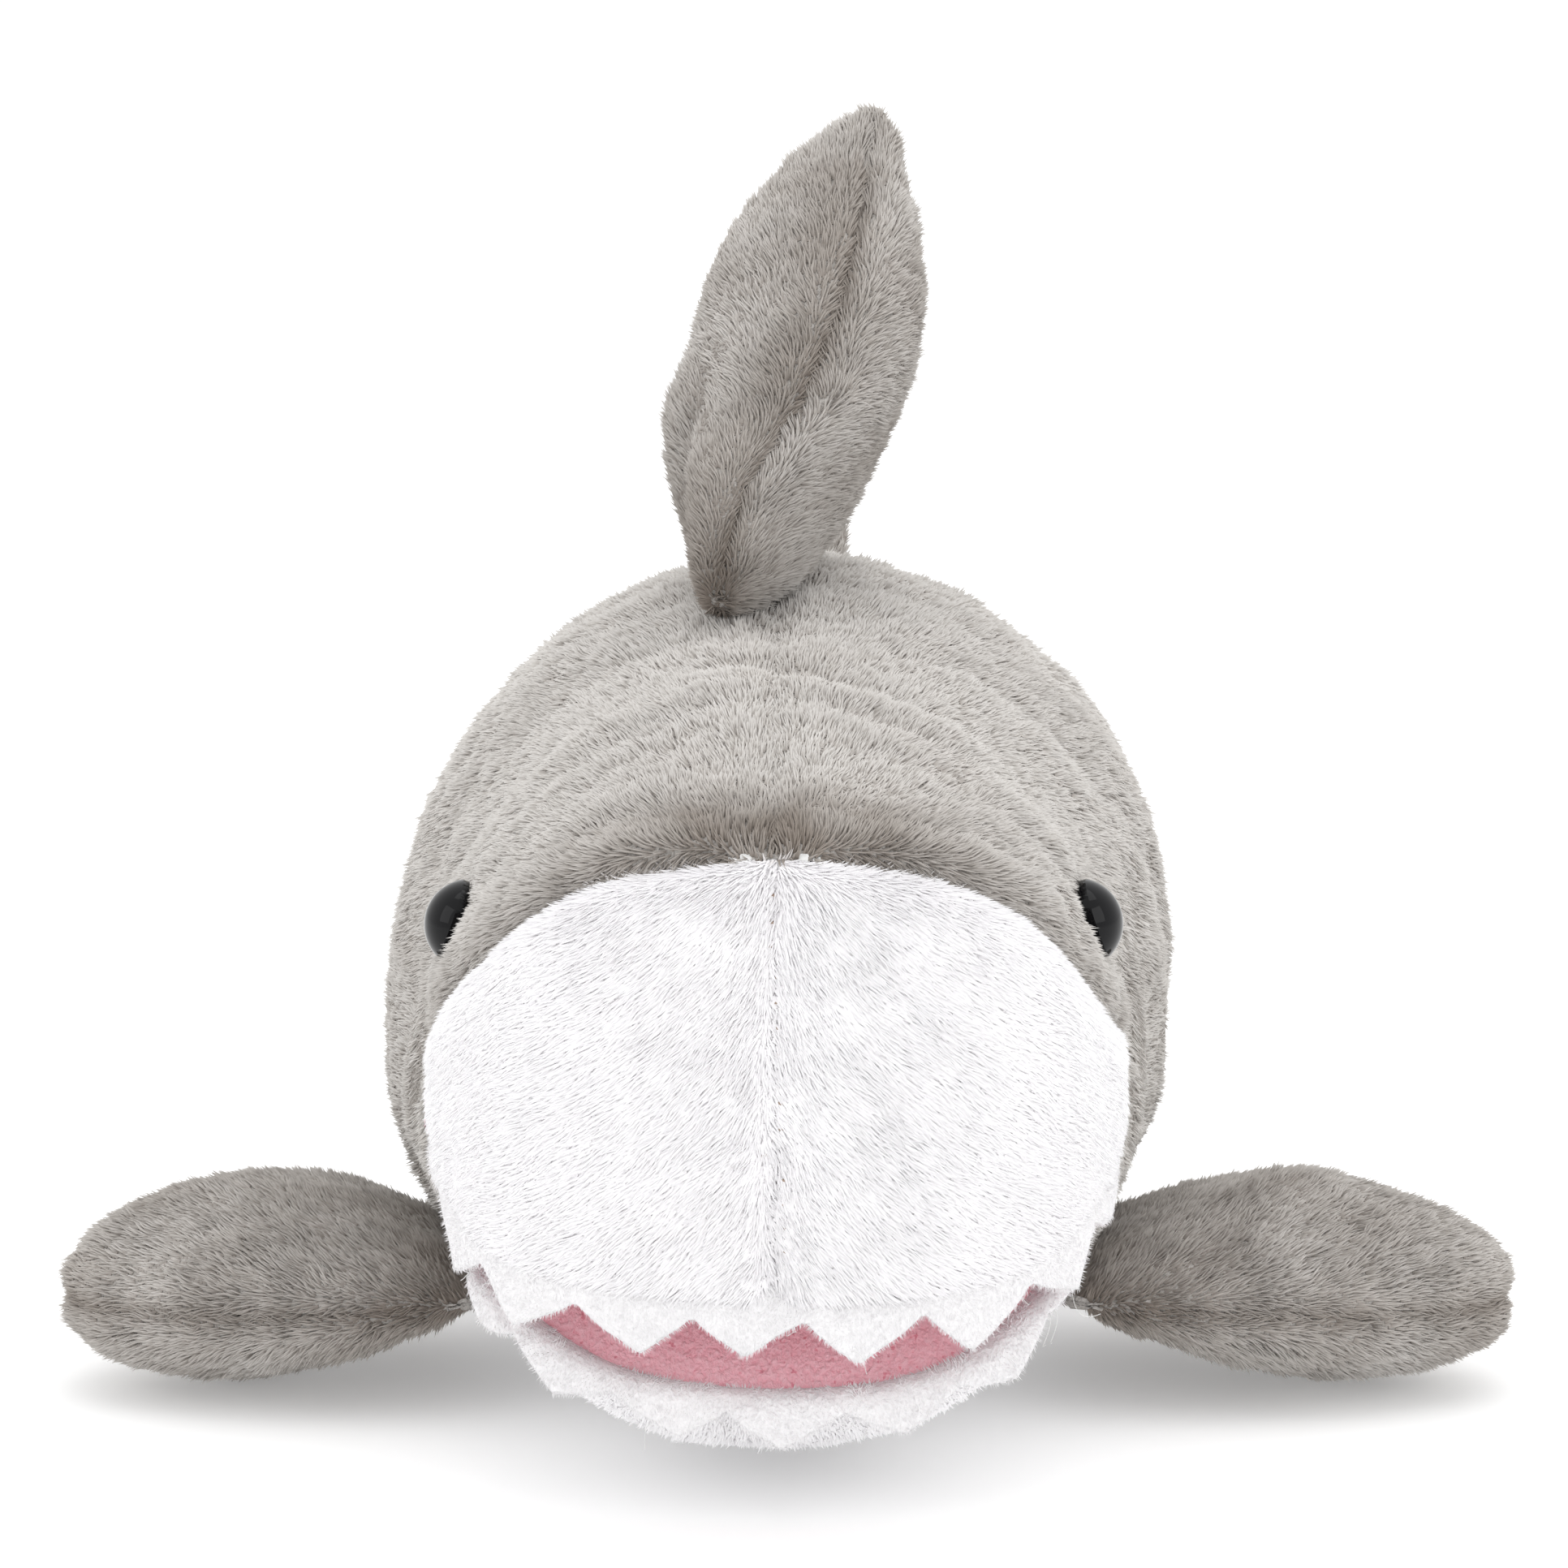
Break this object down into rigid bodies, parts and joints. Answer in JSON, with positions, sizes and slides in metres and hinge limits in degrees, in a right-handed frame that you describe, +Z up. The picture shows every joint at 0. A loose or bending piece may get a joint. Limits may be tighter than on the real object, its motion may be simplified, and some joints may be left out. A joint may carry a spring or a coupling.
{
  "type": "plush shark",
  "caption": "Stuffed plush shark lying on its belly: grey back, white snout and belly, felt teeth in an open mouth, glossy eyes, and soft fins that flex on their sewn roots.",
  "frame": {"origin": "on the floor, under the middle of the overall length, in the shark's middle plane", "axes": "+Z up, +Y from the nose towards the tail, +X towards the shark's own left side"},
  "size_m": [0.2225, 0.3461, 0.2034],
  "materials": {
    "grey_plush": "short pile",
    "white_plush": "short pile",
    "white_felt": "pressed felt",
    "pink_felt": "speckled pressed felt",
    "black_eye": "gloss",
    "washer": "matt",
    "filling": "loose fibre",
    "grey_thread": "thread",
    "white_thread": "thread"
  },
  "bodies": {
    "body": {"back_left": "grey_plush", "back_right": "grey_plush", "belly": "white_plush", "snout_left": "white_plush", "snout_right": "white_plush", "palate_lining": "pink_felt", "mouth_floor_lining": "pink_felt", "upper_teeth": "white_felt", "lower_teeth": "white_felt", "left_eye": "black_eye", "right_eye": "black_eye", "left_eye_washer": "washer", "right_eye_washer": "washer", "body_stuffing": "filling", "snout_seam_stitches": "white_thread", "back_seam_stitches": "grey_thread", "left_belly_seam_stitches": "grey_thread", "right_belly_seam_stitches": "grey_thread"},
    "dorsal_fin": {"dorsal_fin_left": "grey_plush", "dorsal_fin_right": "grey_plush", "dorsal_fin_stuffing": "filling"},
    "left_fin": {"left_fin_top": "grey_plush", "left_fin_bottom": "grey_plush", "left_fin_stuffing": "filling"},
    "right_fin": {"right_fin_top": "grey_plush", "right_fin_bottom": "grey_plush", "right_fin_stuffing": "filling"},
    "tail_fin": {"tail_fin_left": "grey_plush", "tail_fin_right": "grey_plush", "tail_fin_stuffing": "filling"}
  },
  "joints": [
    {"name": "dorsal_fin_sway", "type": "hinge", "parent": "body", "child": "dorsal_fin", "pos_m": [0, -0.07772, 0.13056], "axis": [0, 0.9985, 0.0548], "range_deg": [-40, 40], "stiffness_Nm_per_rad": 0.03},
    {"name": "left_fin_flap", "type": "hinge", "parent": "body", "child": "left_fin", "pos_m": [0.04804, -0.09268, 0.0182], "axis": [0.1162, 0.9932, 0], "range_deg": [-20, 40], "stiffness_Nm_per_rad": 0.03},
    {"name": "right_fin_flap", "type": "hinge", "parent": "body", "child": "right_fin", "pos_m": [-0.04811, -0.09269, 0.0182], "axis": [-0.1168, 0.9932, 0], "range_deg": [-40, 20], "stiffness_Nm_per_rad": 0.03},
    {"name": "tail_fin_sway", "type": "hinge", "parent": "body", "child": "tail_fin", "pos_m": [0, 0.13105, 0.06051], "axis": [0.1132, 0, 0.9936], "range_deg": [-40, 40], "stiffness_Nm_per_rad": 0.03}
  ]
}
